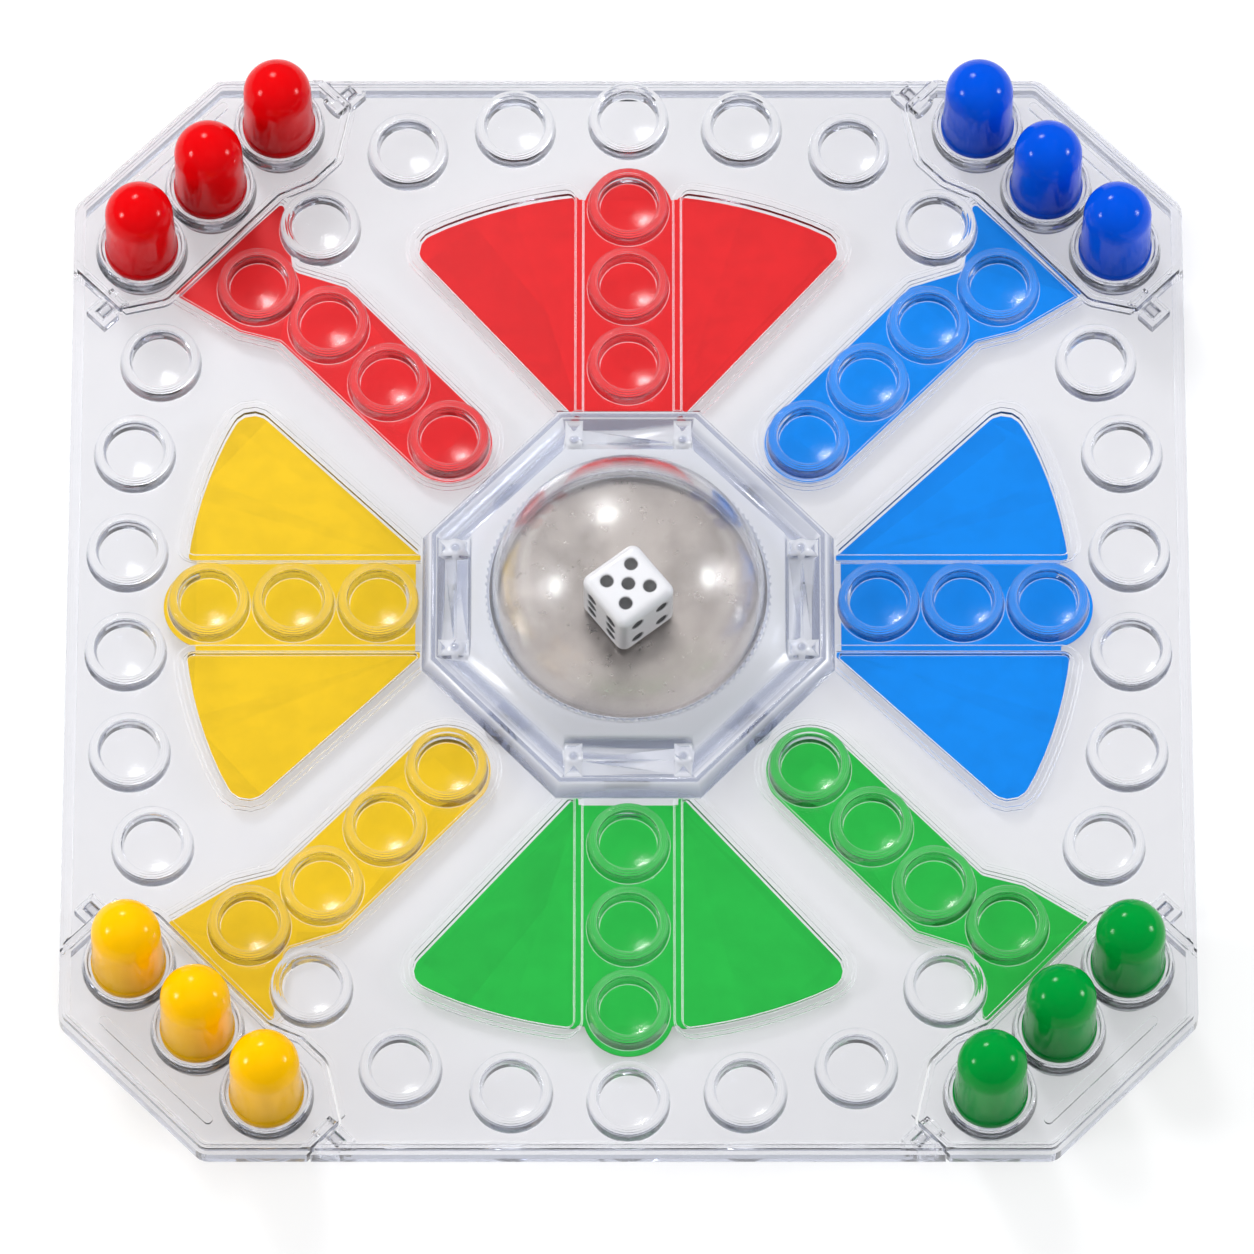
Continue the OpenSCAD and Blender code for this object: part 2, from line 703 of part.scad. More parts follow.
module die() {
    h = die_a / 2;
    color([0.96, 0.96, 0.95]) difference() {
        translate(die_at) rotate(die_turn) translate([0, 0, h]) intersection() {
            die_prism(h);
            rotate([90, 0, 0]) die_prism(h);
            rotate([0, 90, 0]) die_prism(h);
            sphere(r = die_round_r, $fn = 96);
        }
        pips(pip_r, -pip_depth, 1);
    }
}

// square prism with rounded edges; three of them across each other make the die
module die_prism(h) {
    translate([0, 0, -h]) linear_extrude(2 * h)
        polygon(outline([[h, -h], [h, h], [-h, h], [-h, -h]], [for (i = [0 : 3]) die_round], 0, 4));
}

module die_pips() {
    color([0.12, 0.12, 0.12]) pips(pip_r, -pip_depth, -pip_depth + 0.3);
}

module wedge_film_red() { color([0.9, 0.2, 0.2]) wedge_film(0, wedge_ns); }
module wedge_film_green() { color([0.18, 0.72, 0.26]) wedge_film(180, wedge_ns); }
module wedge_film_yellow() { color([1, 0.82, 0.18]) wedge_film(90, wedge_ew); }
module wedge_film_blue() { color([0.04, 0.48, 0.91]) wedge_film(-90, wedge_ew); }

game_board();
corner_flap(red);  // corner_flap_red
corner_flap(blue);  // corner_flap_blue
corner_flap(yellow);  // corner_flap_yellow
corner_flap(green);  // corner_flap_green
wedge_film_red();
wedge_film_blue();
wedge_film_yellow();
wedge_film_green();
color([0.9, 0.2, 0.2]) lane_film(red);  // lane_film_red
color([0.04, 0.48, 0.91]) lane_film(blue);  // lane_film_blue
color([1, 0.82, 0.18]) lane_film(yellow);  // lane_film_yellow
color([0.18, 0.72, 0.26]) lane_film(green);  // lane_film_green
popper_bezel();
dome();
striker_disc();
leaf_spring();
popper_cup();
cup_screws();
die();
die_pips();
color([0.88, 0.06, 0.06]) peg(red, -1);  // peg_red_1
color([0.88, 0.06, 0.06]) peg(red, 0);  // peg_red_2
color([0.88, 0.06, 0.06]) peg(red, 1);  // peg_red_3
color([0, 0.35, 0.85]) peg(blue, -1);  // peg_blue_1
color([0, 0.35, 0.85]) peg(blue, 0);  // peg_blue_2
color([0, 0.35, 0.85]) peg(blue, 1);  // peg_blue_3
color([1, 0.75, 0]) peg(yellow, -1);  // peg_yellow_1
color([1, 0.75, 0]) peg(yellow, 0);  // peg_yellow_2
color([1, 0.75, 0]) peg(yellow, 1);  // peg_yellow_3
color([0, 0.63, 0.28]) peg(green, -1);  // peg_green_1
color([0, 0.63, 0.28]) peg(green, 0);  // peg_green_2
color([0, 0.63, 0.28]) peg(green, 1);  // peg_green_3
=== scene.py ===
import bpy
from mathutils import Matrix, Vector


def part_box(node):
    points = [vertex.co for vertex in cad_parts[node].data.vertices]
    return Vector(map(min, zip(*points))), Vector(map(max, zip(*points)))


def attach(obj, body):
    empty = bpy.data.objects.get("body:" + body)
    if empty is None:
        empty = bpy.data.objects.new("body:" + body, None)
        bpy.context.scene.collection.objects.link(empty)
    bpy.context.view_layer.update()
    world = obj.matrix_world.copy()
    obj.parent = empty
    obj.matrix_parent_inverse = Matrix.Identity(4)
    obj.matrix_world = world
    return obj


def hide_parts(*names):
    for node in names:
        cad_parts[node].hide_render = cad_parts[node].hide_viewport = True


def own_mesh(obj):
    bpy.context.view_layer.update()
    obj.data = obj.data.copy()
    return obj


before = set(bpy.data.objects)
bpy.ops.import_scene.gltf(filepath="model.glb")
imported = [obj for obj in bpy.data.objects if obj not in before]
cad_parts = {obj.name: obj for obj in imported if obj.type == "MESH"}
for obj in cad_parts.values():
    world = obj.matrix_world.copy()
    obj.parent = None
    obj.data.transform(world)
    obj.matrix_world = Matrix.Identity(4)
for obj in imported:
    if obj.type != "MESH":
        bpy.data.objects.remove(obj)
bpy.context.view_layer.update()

import math

import bmesh
import bpy
import numpy as np

mm = 0.001
colours = ["red", "blue", "yellow", "green"]
print("frame loaded:", len(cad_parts), "nodes")


# sRGB hex to linear: below 0.04045 a straight line, above it a power of 2.4
def linear(hexCode):
    share = np.array([int(hexCode[i:i + 2], 16) for i in (1, 3, 5)]) / 255
    return (*np.where(share <= 0.04045, share / 12.92, ((share + 0.055) / 1.055) ** 2.4), 1.0)


def darker(colour, share):
    return (*[c * share for c in colour[:3]], 1.0)


# adds one node to a tree, with its settings, its socket values and the links that feed it
def addNode(tree, kind, settings=None, values=None, links=None):
    made = tree.nodes.new(kind)
    for name, value in (settings or {}).items():
        setattr(made, name, value)
    for name, value in (values or {}).items():
        made.inputs[name].default_value = value
    for name, source in (links or {}).items():
        tree.links.new(source, made.inputs[name])
    return made


def newMaterial(name):
    material = bpy.data.materials.new(name)
    material.use_nodes = True
    material.node_tree.nodes.clear()
    return material, material.node_tree


# noise on Object coordinates whose grain is given in millimetres
def grain(tree, sizeMm, detail, roughness=0.5):
    place = addNode(tree, "ShaderNodeTexCoord").outputs["Object"]
    return addNode(tree, "ShaderNodeTexNoise",
                   values={"Scale": 1 / (sizeMm * mm), "Detail": detail, "Roughness": roughness},
                   links={"Vector": place}).outputs["Fac"]


# clouds of that noise, stretched so that its values fromLow to fromHigh run from low to high
def clouds(tree, low, high, sizeMm, detail, roughness=0.5, fromLow=0.3, fromHigh=0.7):
    return addNode(tree, "ShaderNodeMapRange",
                   values={"From Min": fromLow, "From Max": fromHigh, "To Min": low, "To Max": high},
                   links={"Value": grain(tree, sizeMm, detail, roughness)}).outputs["Result"]


# relief of that noise, as a normal
def relief(tree, sizeMm, detail, strength, depthMm):
    return addNode(tree, "ShaderNodeBump", values={"Strength": strength, "Distance": depthMm * mm},
                   links={"Height": grain(tree, sizeMm, detail)}).outputs["Normal"]


# share that runs from low to high between two heights in millimetres
def byHeight(tree, low, high, fromMm, toMm):
    place = addNode(tree, "ShaderNodeTexCoord").outputs["Object"]
    height = addNode(tree, "ShaderNodeSeparateXYZ", links={0: place}).outputs["Z"]
    return addNode(tree, "ShaderNodeMapRange",
                   values={"From Min": fromMm * mm, "From Max": toMm * mm, "To Min": low, "To Max": high},
                   links={"Value": height}).outputs["Result"]


def meshPiece(name, points, faces):
    mesh = bpy.data.meshes.new(name)
    mesh.from_pydata(points.tolist(), [], faces)
    mesh.validate()
    mesh.shade_smooth()
    piece = bpy.data.objects.new(name, mesh)
    bpy.context.scene.collection.objects.link(piece)
    return piece


# closed surface of a profile turned about +Z: x = x0 + r(t) cos a, y = y0 + r(t) sin a, z = z(t).
# The profile starts and ends on the axis
def revolved(name, profile, at=(0, 0), segments=64):
    r, z = np.array(profile, float).T * mm
    angle = np.linspace(0, 2 * np.pi, segments, endpoint=False)
    inner = slice(1, len(r) - 1)
    ring = np.stack([np.outer(r[inner], np.cos(angle)), np.outer(r[inner], np.sin(angle)),
                     np.repeat(z[inner, None], segments, 1)], -1).reshape(-1, 3)
    points = np.vstack([[0, 0, z[0]], ring, [0, 0, z[-1]]]) + [at[0] * mm, at[1] * mm, 0]
    rows = len(r) - 2
    i, j = np.meshgrid(np.arange(rows - 1), np.arange(segments), indexing="ij")
    a, b = 1 + i * segments + j, 1 + i * segments + (j + 1) % segments
    quads = np.stack([a, b, b + segments, a + segments], -1).reshape(-1, 4)
    k = np.arange(segments)
    last = 1 + (rows - 1) * segments
    low = np.stack([np.zeros_like(k), 1 + (k + 1) % segments, 1 + k], -1)
    high = np.stack([np.full_like(k, len(points) - 1), last + k, last + (k + 1) % segments], -1)
    return meshPiece(name, points, quads.tolist() + low.tolist() + high.tolist())


# profile with rounded corners: each corner becomes an arc that touches both its sides
def filleted(corners, radii, steps):
    p = np.array(corners, float)
    r = np.array(radii, float)
    before, after = np.roll(p, 1, 0) - p, np.roll(p, -1, 0) - p
    u = before / np.linalg.norm(before, axis=1, keepdims=True)
    v = after / np.linalg.norm(after, axis=1, keepdims=True)
    half = np.arccos(np.clip((u * v).sum(1), -1, 1)) / 2
    bisector = u + v
    bisector /= np.maximum(np.linalg.norm(bisector, axis=1, keepdims=True), 1e-9)
    middle = p + bisector * (r / np.sin(half))[:, None]
    start, end = p + u * (r / np.tan(half))[:, None], p + v * (r / np.tan(half))[:, None]
    t = np.linspace(0, 1, steps + 1)[None, :, None]
    chord = start[:, None] * (1 - t) + end[:, None] * t - middle[:, None]
    length = np.maximum(np.linalg.norm(chord, axis=2, keepdims=True), 1e-9)
    arc = middle[:, None] + chord / length * r[:, None, None]
    sharp = (r == 0) | (np.arange(len(p)) == 0) | (np.arange(len(p)) == len(p) - 1)
    return np.vstack([p[i:i + 1] if sharp[i] else arc[i] for i in range(len(p))])


def finish(piece, body, material, slotName, *nodes):
    piece.data.materials.clear()
    piece.data.materials.append(material)
    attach(piece, body)
    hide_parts(*nodes)
    return piece


copyRules = {"mergeMm": 0.002, "seatMm": 0.01, "sharpAngle": 30}


# merged copy of a CAD node. Points at height seat stand a little higher in it, so that no two clear faces
# share one plane
def mergedCopy(name, nodeName, body, material, slotName, seat=None, lift=0.0):
    cad = bmesh.new()
    cad.from_mesh(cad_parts[nodeName].data)
    bmesh.ops.remove_doubles(cad, verts=cad.verts, dist=copyRules["mergeMm"] * mm)
    for vert in cad.verts:
        if seat is not None and abs(vert.co.z - seat * mm) < copyRules["seatMm"] * mm:
            vert.co.z += lift * mm
    mesh = bpy.data.meshes.new(name)
    cad.to_mesh(mesh)
    cad.free()
    mesh.shade_smooth()
    mesh.set_sharp_from_angle(angle=math.radians(copyRules["sharpAngle"]))
    piece = bpy.data.objects.new(name, mesh)
    bpy.context.scene.collection.objects.link(piece)
    return finish(piece, body, material, slotName, nodeName)


def dress(nodeName, material):
    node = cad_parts[nodeName]
    node.data.materials.clear()
    node.data.materials.append(material)


camera = {"elevation": 66.0, "distance": 2.773, "lens": 344.5, "sensor": 36, "near": 0.1, "far": 30,
          "aim": (-0.0003, -0.0057, 0.006)}


def makeCamera():
    tilt = math.radians(camera["elevation"])
    made = bpy.data.objects.new("camera", bpy.data.cameras.new("camera"))
    bpy.context.scene.collection.objects.link(made)
    x, y, z = camera["aim"]
    made.location = (x, y - camera["distance"] * math.cos(tilt), z + camera["distance"] * math.sin(tilt))
    made.rotation_euler = (math.pi / 2 - tilt, 0, 0)
    made.data.lens = camera["lens"]
    made.data.sensor_width = camera["sensor"]
    made.data.clip_start = camera["near"]
    made.data.clip_end = camera["far"]
    bpy.context.scene.camera = made


# ownLight is the share of the floor's own white light, near the board and far off. lightFrom and sheetEdge
# are the distances in metres over which it grows, and over which gloss and clear plastic stop seeing it
floor = {"size": 8.0, "colour": "#F6F6F6", "ownLight": (0.45, 0.95), "lightFrom": (0.26, 0.6),
         "sheetEdge": (0.24, 0.42), "gap": 0.1}


# pale floor: it shows white to the camera and keeps the shadow. Gloss and clear plastic see it white near the
# board and plain grey further off, which draws their edges
def makeFloor():
    half = floor["size"] / 2
    drop = -floor["gap"] * mm
    corners = np.array([[-half, -half, drop], [half, -half, drop], [half, half, drop], [-half, half, drop]])
    made = meshPiece("floor", corners, [[0, 1, 2, 3]])
    material, tree = newMaterial("paper sweep")  # matt white paper
    rays = addNode(tree, "ShaderNodeLightPath").outputs
    place = addNode(tree, "ShaderNodeTexCoord").outputs["Object"]
    away = addNode(tree, "ShaderNodeVectorMath", {"operation": "LENGTH"}, links={0: place}).outputs["Value"]
    (near, far), (growFrom, growTo) = floor["ownLight"], floor["lightFrom"]
    sheetFrom, sheetTo = floor["sheetEdge"]
    sheet = addNode(tree, "ShaderNodeMapRange", links={"Value": away},
                    values={"From Min": sheetFrom, "From Max": sheetTo, "To Min": 1, "To Max": 0})
    grown = addNode(tree, "ShaderNodeMapRange", links={"Value": away},
                    values={"From Min": growFrom, "From Max": growTo, "To Min": near, "To Max": far})
    mirrored = addNode(tree, "ShaderNodeMath", {"operation": "MAXIMUM"},
                       links={0: rays["Is Glossy Ray"], 1: rays["Is Transmission Ray"]})
    bright = addNode(tree, "ShaderNodeMath", {"operation": "MULTIPLY"},
                     links={0: mirrored.outputs[0], 1: sheet.outputs["Result"]})
    seen = addNode(tree, "ShaderNodeMath", {"operation": "MAXIMUM"},
                   links={0: rays["Is Camera Ray"], 1: bright.outputs[0]})
    share = addNode(tree, "ShaderNodeMath", {"operation": "MULTIPLY"},
                    links={0: seen.outputs[0], 1: grown.outputs["Result"]})
    matt = addNode(tree, "ShaderNodeBsdfDiffuse", values={"Color": linear(floor["colour"])})
    own = addNode(tree, "ShaderNodeEmission", values={"Color": (1, 1, 1, 1), "Strength": 1.0})
    mixed = addNode(tree, "ShaderNodeMixShader",
                    links={0: share.outputs[0], 1: matt.outputs[0], 2: own.outputs[0]})
    addNode(tree, "ShaderNodeOutputMaterial", links={"Surface": mixed.outputs[0]})
    made.data.materials.append(material)


lamps = {
    "backSoftbox": {"towards": (-0.25, 0.67, 0.70), "power": 5.2},
    "rightSoftbox": {"towards": (0.93, 0.02, 0.37), "power": 4.8},
    "leftSoftbox": {"towards": (-0.85, -0.12, 0.44), "power": 4.8},
}
# each lamp is three discs, whose radius and share of the power give it a soft edge
lampRings = ((0.18, 0.30), (0.14, 0.35), (0.09, 0.35))
lampPlace = {"distance": 1.2, "step": 0.01}


def makeLamps():
    for name, lamp in lamps.items():
        direction = np.array(lamp["towards"]) / np.linalg.norm(lamp["towards"])
        for number, (radius, share) in enumerate(lampRings):
            light = bpy.data.lights.new(f"{name}{number}", "AREA")
            light.shape = "DISK"
            light.size = 2 * radius
            light.energy = lamp["power"] * share
            made = bpy.data.objects.new(light.name, light)
            bpy.context.scene.collection.objects.link(made)
            made.location = direction * (lampPlace["distance"] + lampPlace["step"] * number)
            swing = math.atan2(direction[1], direction[0]) + math.pi / 2
            made.rotation_euler = (math.acos(direction[2]), 0, swing)


fill = {"size": 2.4, "height": 1.7, "power": 28.0}  # broad overhead silk, hidden from gloss


def makeFill():
    light = bpy.data.lights.new("overheadSilk", "AREA")
    light.size = fill["size"]
    light.energy = fill["power"]
    made = bpy.data.objects.new(light.name, light)
    bpy.context.scene.collection.objects.link(made)
    made.location = (0, 0, fill["height"])
    made.visible_glossy = False
    made.visible_camera = False


world = {"top": "#2A2C30", "side": "#C9CCD6", "low": "#8A8E96", "strength": 0.42,
         "wallRise": (0.0, 0.4), "skyRise": (0.6, 0.85)}


# grey studio that is dark overhead. The camera sees it white
def makeWorld():
    made = bpy.data.worlds.new("studio")
    bpy.context.scene.world = made
    made.use_nodes = True
    tree = made.node_tree
    tree.nodes.clear()
    height = addNode(tree, "ShaderNodeSeparateXYZ",
                     links={0: addNode(tree, "ShaderNodeTexCoord").outputs["Generated"]}).outputs["Z"]
    wallRise, skyRise = [addNode(tree, "ShaderNodeMapRange", links={"Value": height},
                                 values={"From Min": low, "From Max": high, "To Min": 0, "To Max": 1})
                         for low, high in (world["wallRise"], world["skyRise"])]
    walls = addNode(tree, "ShaderNodeMix", {"data_type": "RGBA"},
                    {"A": linear(world["low"]), "B": linear(world["side"])},
                    {"Factor": wallRise.outputs["Result"]})
    sky = addNode(tree, "ShaderNodeMix", {"data_type": "RGBA"}, {"B": linear(world["top"])},
                  {"A": walls.outputs["Result"], "Factor": skyRise.outputs["Result"]})
    back = addNode(tree, "ShaderNodeBackground", values={"Strength": world["strength"]},
                   links={"Color": sky.outputs["Result"]})
    paper = addNode(tree, "ShaderNodeBackground", values={"Color": linear("#FFFFFF"), "Strength": 1.0})
    seen = addNode(tree, "ShaderNodeMixShader",
                   links={0: addNode(tree, "ShaderNodeLightPath").outputs["Is Camera Ray"],
                          1: back.outputs[0], 2: paper.outputs[0]})
    addNode(tree, "ShaderNodeOutputWorld", links={"Surface": seen.outputs[0]})


bpy.context.scene.view_settings.view_transform = "Standard"
makeCamera()
makeFloor()
makeLamps()
makeFill()
makeWorld()
print("camera, floor and lamps made")


# lets rays from lamps and from matt surfaces go straight through, so that what lies under the plastic is lit
def seeThrough(tree, body, through):
    clear = addNode(tree, "ShaderNodeBsdfTransparent", values={"Color": linear(through)})
    rays = addNode(tree, "ShaderNodeLightPath").outputs
    straight = addNode(tree, "ShaderNodeMath", {"operation": "MAXIMUM"},
                       links={0: rays["Is Shadow Ray"], 1: rays["Is Diffuse Ray"]})
    mixed = addNode(tree, "ShaderNodeMixShader",
                    links={0: straight.outputs[0], 1: body.outputs[0], 2: clear.outputs[0]})
    addNode(tree, "ShaderNodeOutputMaterial", links={"Surface": mixed.outputs[0]})


# bent and flat are cosines between an edge's rounded normal and its flat face
edgeLine = {"samples": 4, "bent": 0.84, "flat": 0.985}


# normal of an edge with a radius of edge millimetres, and the share of a painted highlight, a white line
# along the edge, that rises to its full share where that normal leaves the flat face's own
def paintEdgeHighlight(tree, edge, edgeHighlight):
    rounded = addNode(tree, "ShaderNodeBevel", {"samples": edgeLine["samples"]},
                      {"Radius": edge * mm}).outputs["Normal"]
    facing = addNode(tree, "ShaderNodeNewGeometry").outputs["True Normal"]
    turned = addNode(tree, "ShaderNodeVectorMath", {"operation": "DOT_PRODUCT"},
                     links={0: rounded, 1: facing})
    cosine = addNode(tree, "ShaderNodeMath", {"operation": "ABSOLUTE"}, links={0: turned.outputs["Value"]})
    share = addNode(tree, "ShaderNodeMapRange", links={"Value": cosine.outputs[0]},
                    values={"From Min": edgeLine["bent"], "From Max": edgeLine["flat"],
                            "To Min": edgeHighlight, "To Max": 0.0})
    return rounded, share.outputs["Result"]


paintedWhiteLayer = {"colour": "#F6F7FA", "rough": 0.25}


# the larger of two shares of painted white, a white matt layer mixed into a clear plastic: a painted
# highlight along edges and painted white on what stands high
def withPaintedWhite(tree, clear, edgeHighlightShare, paintedWhiteShare):
    whiteLayer = addNode(tree, "ShaderNodeBsdfPrincipled",
                   values={"Base Color": linear(paintedWhiteLayer["colour"]), "Roughness": paintedWhiteLayer["rough"]})
    share = addNode(tree, "ShaderNodeMath", {"operation": "MAXIMUM"}, links={0: paintedWhiteShare, 1: edgeHighlightShare})
    return addNode(tree, "ShaderNodeMixShader",
                   links={0: share.outputs[0], 1: clear.outputs[0], 2: whiteLayer.outputs[0]})


# tint is the plastic's own colour for flat faces. wall and foot are painted shade for steep faces above and
# below the plate's top, and the deep colour is painted shade for flat faces below the height after it.
# Heights and the edge radius are in millimetres
plastics = {
    "board": {"tint": "#ECECEE", "wall": "#BEC2CE", "foot": "#ABAFBC", "deepShade": "#ECECEE", "deepShadeBelow": -1.0,
              "rough": 0.02, "gleam": "#3A3A3C", "through": "#F8F8FA", "paintedWhiteFrom": 7.0, "paintedWhite": 0.04,
              "edge": 0.3, "edgeHighlight": 0.85},
    "bezel": {"tint": "#C6CBDA", "wall": "#8D93A6", "foot": "#8D93A6", "deepShade": "#5C6270", "deepShadeBelow": 5.8,
              "rough": 0.03, "gleam": "#8A8A8E", "through": "#ECEEF4", "paintedWhiteFrom": 5.0, "paintedWhite": 0.04,
              "edge": 0.4, "edgeHighlight": 0.6},
}
plateTop = 6.0
# steep and flat are the upward parts of a face's normal. The others are heights over which a painted shade
# and the painted white change
fades = {"steep": 0.3, "flat": 0.95, "deepShade": 0.2, "plate": 0.5, "paintedWhite": 1.2}


# crystal polystyrene, injection moulded: clear and hard, with faint flow ripples that bend what is behind it.
# Steep walls are seen along their length and are painted grey as painted shade, and flat faces low down get a
# darker painted shade.
# Edges get a painted highlight, a bright white line, and what stands high a little painted white that stands
# in for soft reflections
def clearPlastic(name, tint, wall, foot, deepShade, deepShadeBelow, rough, gleam, through, paintedWhiteFrom, paintedWhite, edge, edgeHighlight):
    material, tree = newMaterial(name)
    facing = addNode(tree, "ShaderNodeNewGeometry").outputs["True Normal"]
    upright = addNode(tree, "ShaderNodeMath", {"operation": "ABSOLUTE"},
                      links={0: addNode(tree, "ShaderNodeSeparateXYZ", links={0: facing}).outputs["Z"]})
    lean = addNode(tree, "ShaderNodeMapRange", links={"Value": upright.outputs[0]},
                   values={"From Min": fades["steep"], "From Max": fades["flat"], "To Min": 0, "To Max": 1})
    # painted shade: flat faces below the given height take the darker deep colour
    flat = addNode(tree, "ShaderNodeMix", {"data_type": "RGBA"}, {"A": linear(deepShade), "B": linear(tint)},
                   {"Factor": byHeight(tree, 0, 1, deepShadeBelow, deepShadeBelow + fades["deepShade"])})
    # painted shade: steep faces take the grey wall colour, and the darker foot colour below the plate's top
    steep = addNode(tree, "ShaderNodeMix", {"data_type": "RGBA"}, {"A": linear(foot), "B": linear(wall)},
                    {"Factor": byHeight(tree, 0, 1, plateTop - fades["plate"], plateTop)})
    tintAndShade = addNode(tree, "ShaderNodeMix", {"data_type": "RGBA"},
                  links={"A": steep.outputs["Result"], "B": flat.outputs["Result"],
                         "Factor": lean.outputs["Result"]})
    # painted highlight: a white line along edges
    rounded, edgeHighlightShare = paintEdgeHighlight(tree, edge, edgeHighlight)
    glass = addNode(tree, "ShaderNodeBsdfPrincipled",
                    values={"Transmission Weight": 1.0, "IOR": 1.49, "Specular Tint": linear(gleam),
                            "Coat Weight": 0.7, "Coat Roughness": 0.22, "Coat IOR": 1.45},
                    links={"Base Color": tintAndShade.outputs["Result"], "Coat Normal": rounded,
                           "Normal": relief(tree, sizeMm=14, detail=1.0, strength=0.05, depthMm=0.4),
                           "Roughness": clouds(tree, rough, rough + 0.03, sizeMm=30, detail=3.0,
                                               fromLow=0.45, fromHigh=0.75)})
    # painted white on what stands above the given height, standing in for soft reflections
    paintedWhiteShare = byHeight(tree, 0.0, paintedWhite, paintedWhiteFrom, paintedWhiteFrom + fades["paintedWhite"])
    seeThrough(tree, withPaintedWhite(tree, glass, edgeHighlightShare, paintedWhiteShare), through)
    return material


# blotch is the share of the ink's colour that is left in its darker clouds
films = {"red": "#F2282B", "blue": "#0090F6", "yellow": "#FFD21C", "green": "#28C449", "blotch": 0.93}


# printed polyester film: flat saturated ink with a fine grain and a soft sheen
def printedFilm(colour):
    material, tree = newMaterial(f"printed {colour} film")
    ink = linear(films[colour])
    blotch = addNode(tree, "ShaderNodeMix", {"data_type": "RGBA"},
                     {"A": darker(ink, films["blotch"]), "B": ink},
                     {"Factor": clouds(tree, 0, 1, sizeMm=9, detail=4.0, roughness=0.6,
                                       fromLow=0.35, fromHigh=0.6)})
    sheet = addNode(tree, "ShaderNodeBsdfPrincipled", values={"Roughness": 0.5, "IOR": 1.3},
                    links={"Base Color": blotch.outputs["Result"],
                           "Normal": relief(tree, sizeMm=0.5, detail=2.0, strength=0.12, depthMm=0.05)})
    addNode(tree, "ShaderNodeOutputMaterial", links={"Surface": sheet.outputs[0]})
    return material


# name, colour and roughness of each metal
steels = {"striker_disc": ("buffed sheet steel", "#A39C97", 0.3),
          "leaf_spring": ("bright spring steel", "#B4B4B6", 0.25),
          "cup_screws": ("zinc plated steel", "#BFC0C2", 0.3)}
steelMarks = 0.72  # share of the colour that is left in a mark


# polished sheet steel: rolled, buffed in small swirls, with grey handling marks
def sheetSteel(name, base, rough):
    material, tree = newMaterial(name)
    tone = linear(base)
    marks = addNode(tree, "ShaderNodeMix", {"data_type": "RGBA"}, {"A": darker(tone, steelMarks), "B": tone},
                    {"Factor": clouds(tree, 0, 1, sizeMm=15, detail=3.0, roughness=0.55,
                                      fromLow=0.38, fromHigh=0.6)})
    metal = addNode(tree, "ShaderNodeBsdfPrincipled", values={"Metallic": 1.0},
                    links={"Base Color": marks.outputs["Result"],
                           "Roughness": clouds(tree, rough - 0.03, rough + 0.05, sizeMm=2.2, detail=4.0,
                                               roughness=0.7, fromLow=0.35, fromHigh=0.65),
                           "Normal": relief(tree, sizeMm=0.35, detail=1.0, strength=0.03, depthMm=0.02)})
    addNode(tree, "ShaderNodeOutputMaterial", links={"Surface": metal.outputs[0]})
    return material


# polypropylene, moulded: opaque and satin, with a slightly worn sheen
def satinPlastic(name, base, rough):
    material, tree = newMaterial(name)
    body = addNode(tree, "ShaderNodeBsdfPrincipled", values={"Base Color": linear(base), "IOR": 1.5},
                   links={"Roughness": clouds(tree, rough - 0.05, rough + 0.1, sizeMm=5, detail=4.0),
                          "Normal": relief(tree, sizeMm=0.8, detail=2.0, strength=0.06, depthMm=0.05)})
    addNode(tree, "ShaderNodeOutputMaterial", links={"Surface": body.outputs[0]})
    return material


boardPlastic = clearPlastic("crystal polystyrene", **plastics["board"])
dress("game_board", boardPlastic)
for colour in colours:
    film = printedFilm(colour)
    dress(f"corner_flap_{colour}", boardPlastic)
    dress(f"wedge_film_{colour}", film)
    dress(f"lane_film_{colour}", film)
dress("striker_disc", sheetSteel(*steels["striker_disc"]))
dress("cup_screws", sheetSteel(*steels["cup_screws"]))
dress("popper_cup", satinPlastic("pale blue grey polypropylene", "#D2D6E0", 0.4))

bezelSeat = {"height": 6.0, "lift": 0.05}
bezelPlastic = clearPlastic("blue tinted polystyrene", **plastics["bezel"])
mergedCopy("popperBezel", "popper_bezel", "board", bezelPlastic, "tinted_bezel",
           bezelSeat["height"], bezelSeat["lift"])

# the cone spring: a merged copy of its CAD node, with a mesh of its own
spring = mergedCopy("leafSpring", "leaf_spring", "board", sheetSteel(*steels["leaf_spring"]), "spring_steel")
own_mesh(spring)
print("board, films and popper dressed")


# lengths in millimetres. body is the body's share of the head's colour: painted shade on the lower body,
# which fades into the head's colour between the next two heights
pegs = {"red": "#DC060C", "blue": "#0250D6", "yellow": "#FFC000", "green": "#009436",
        "body": 0.74, "paintedShadeFrom": 10.0, "paintedShadeTo": 24.0, "headRadius": 7.95, "headRows": 14,
        "spigotRadius": 6.2, "spigotHeight": 4.1, "spigotRound": 0.6, "footHeight": 2.5,
        "footRound": (0.5, 0.6), "neckOut": 0.35, "neckRise": 0.15, "neckRound": 0.25, "arcSteps": 4}


